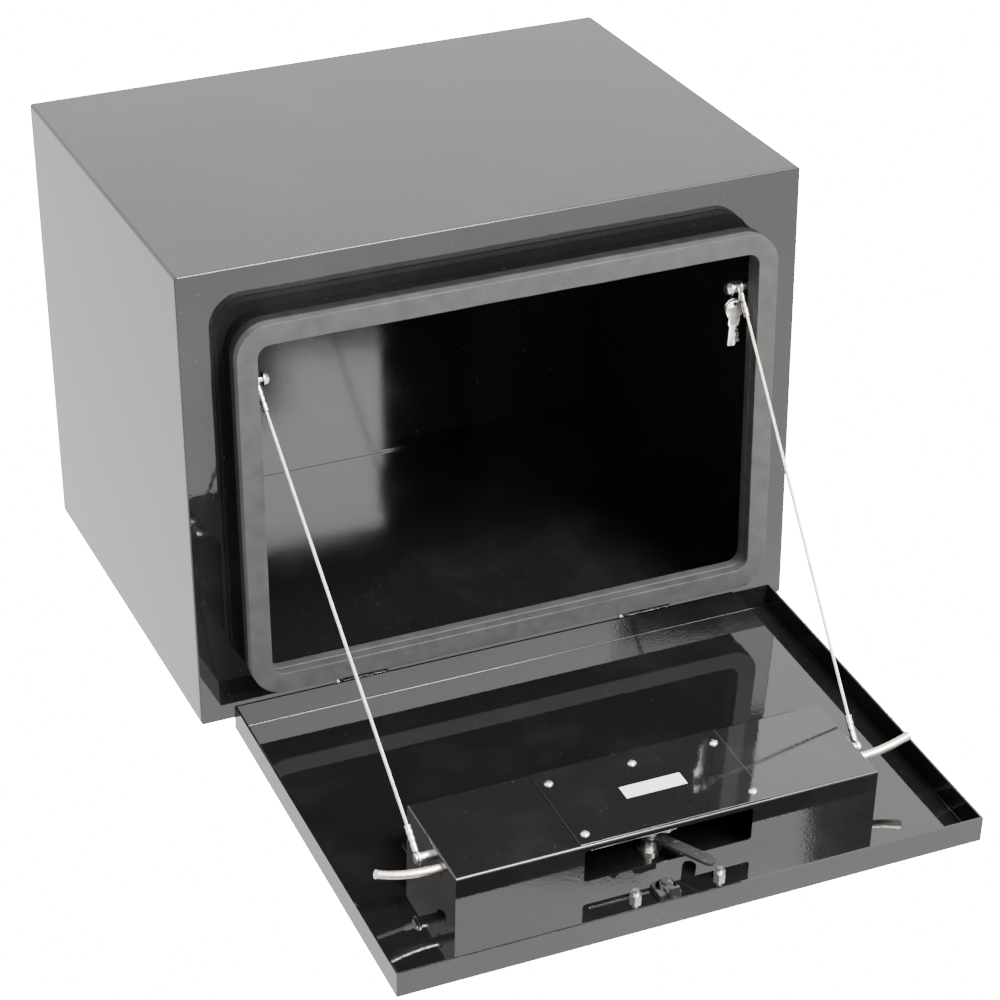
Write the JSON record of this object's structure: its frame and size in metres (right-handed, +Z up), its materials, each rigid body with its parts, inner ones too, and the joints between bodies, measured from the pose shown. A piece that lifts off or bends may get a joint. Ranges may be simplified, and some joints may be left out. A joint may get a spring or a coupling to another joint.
{
  "type": "truck tool box",
  "caption": "Underbody truck tool box: welded black steel box with a drop-down door on two cables, a seal round the opening and a T-handle that drives two latch rods.",
  "frame": {"origin": "centre of the base face, on the underside of the box", "axes": "+Z up through the top face, +Y toward the back, the door on the -Y side, +X to the right seen from the door"},
  "size_m": [0.61, 0.882, 0.5021],
  "materials": {
    "black_powder_coat": "gloss",
    "seal_rubber": "matt",
    "zinc_steel": "satin, zinc plated",
    "stainless_plate": "satin",
    "chrome_handle": "polished",
    "nickel_brass": "worn nickel",
    "black_nylon": "matt",
    "gasket_rubber": "matt",
    "label_film": "satin film",
    "wire_rope": "galvanised strands",
    "black_steel": "satin"
  },
  "bodies": {
    "box": {"body_shell": "black_powder_coat", "back_pan": "black_powder_coat", "front_frame": "black_powder_coat", "door_collar": "black_powder_coat", "seal_grip": "seal_rubber", "seal_bulb": "seal_rubber", "left_hinge_body_leaf": "zinc_steel", "right_hinge_body_leaf": "zinc_steel", "left_hinge_pin": "zinc_steel", "right_hinge_pin": "zinc_steel", "hinge_body_rivets": "zinc_steel", "cable_top_bolts": "zinc_steel", "cable_top_washers": "zinc_steel", "cable_top_spacers": "zinc_steel", "cable_weld_nuts": "zinc_steel", "left_cable_upper_end": "zinc_steel", "right_cable_upper_end": "zinc_steel", "left_cable_rope": "wire_rope", "right_cable_rope": "wire_rope"},
    "door": {"door_pan": "black_powder_coat", "left_hinge_door_leaf": "zinc_steel", "right_hinge_door_leaf": "zinc_steel", "hinge_door_rivets": "black_powder_coat", "latch_cover": "black_powder_coat", "access_plate": "black_powder_coat", "access_plate_screws": "zinc_steel", "blank_label": "label_film", "handle_plate": "stainless_plate", "handle_gasket": "gasket_rubber", "handle_plate_nuts": "zinc_steel", "spindle_bush": "zinc_steel", "lock_barrel": "chrome_handle", "lock_nut": "black_steel", "rod_guides": "black_nylon", "cable_lower_bolts": "zinc_steel", "cable_lower_nuts": "zinc_steel", "cable_lower_spacers": "zinc_steel", "left_cable_lower_end": "zinc_steel", "right_cable_lower_end": "zinc_steel"},
    "latch_handle": {"t_handle": "chrome_handle", "latch_rotor": "zinc_steel", "rotor_pins": "zinc_steel", "spindle_spacers": "zinc_steel", "lock_arm": "black_steel"},
    "left_rod": {"left_latch_rod": "zinc_steel", "left_rod_link": "zinc_steel"},
    "right_rod": {"right_latch_rod": "zinc_steel", "right_rod_link": "zinc_steel"},
    "lock": {"lock_plug": "black_steel", "lock_tail": "black_steel", "lock_tail_nut": "black_steel"},
    "keys": {"key_ring": "nickel_brass", "first_key": "nickel_brass", "second_key": "nickel_brass"}
  },
  "joints": [
    {"name": "door_hinge", "type": "hinge", "parent": "box", "child": "door", "pos_m": [0, -0.2465, 0.024], "axis": [-1, 0, 0], "range_deg": [0, 93.6], "deforming": ["left_cable_rope", "right_cable_rope", "left_cable_upper_end", "right_cable_upper_end", "left_cable_lower_end", "right_cable_lower_end", "seal_grip", "seal_bulb"]},
    {"name": "handle_turn", "type": "hinge", "parent": "door", "child": "latch_handle", "pos_m": [0, -0.55363, -0.01536], "axis": [0, 0.0628, -0.998], "range_deg": [0, 90]},
    {"name": "left_rod_slide", "type": "slide", "parent": "door", "child": "left_rod", "axis": [-1, 0, 0], "range_m": [0, 0.018]},
    {"name": "right_rod_slide", "type": "slide", "parent": "door", "child": "right_rod", "axis": [1, 0, 0], "range_m": [0, 0.018]},
    {"name": "lock_turn", "type": "hinge", "parent": "door", "child": "lock", "pos_m": [-0.013, -0.61352, -0.01913], "axis": [0, -0.0628, 0.998], "range_deg": [0, 90]},
    {"name": "key_swing", "type": "hinge", "parent": "box", "child": "keys", "pos_m": [0.2366, -0.2365, 0.35], "axis": [1, 0, 0], "range_deg": [-3, 60]}
  ],
  "couplings": [
    {"joint": "left_rod_slide", "follows": "handle_turn", "m_per_rad": 0.011459},
    {"joint": "right_rod_slide", "follows": "handle_turn", "m_per_rad": 0.011459}
  ]
}
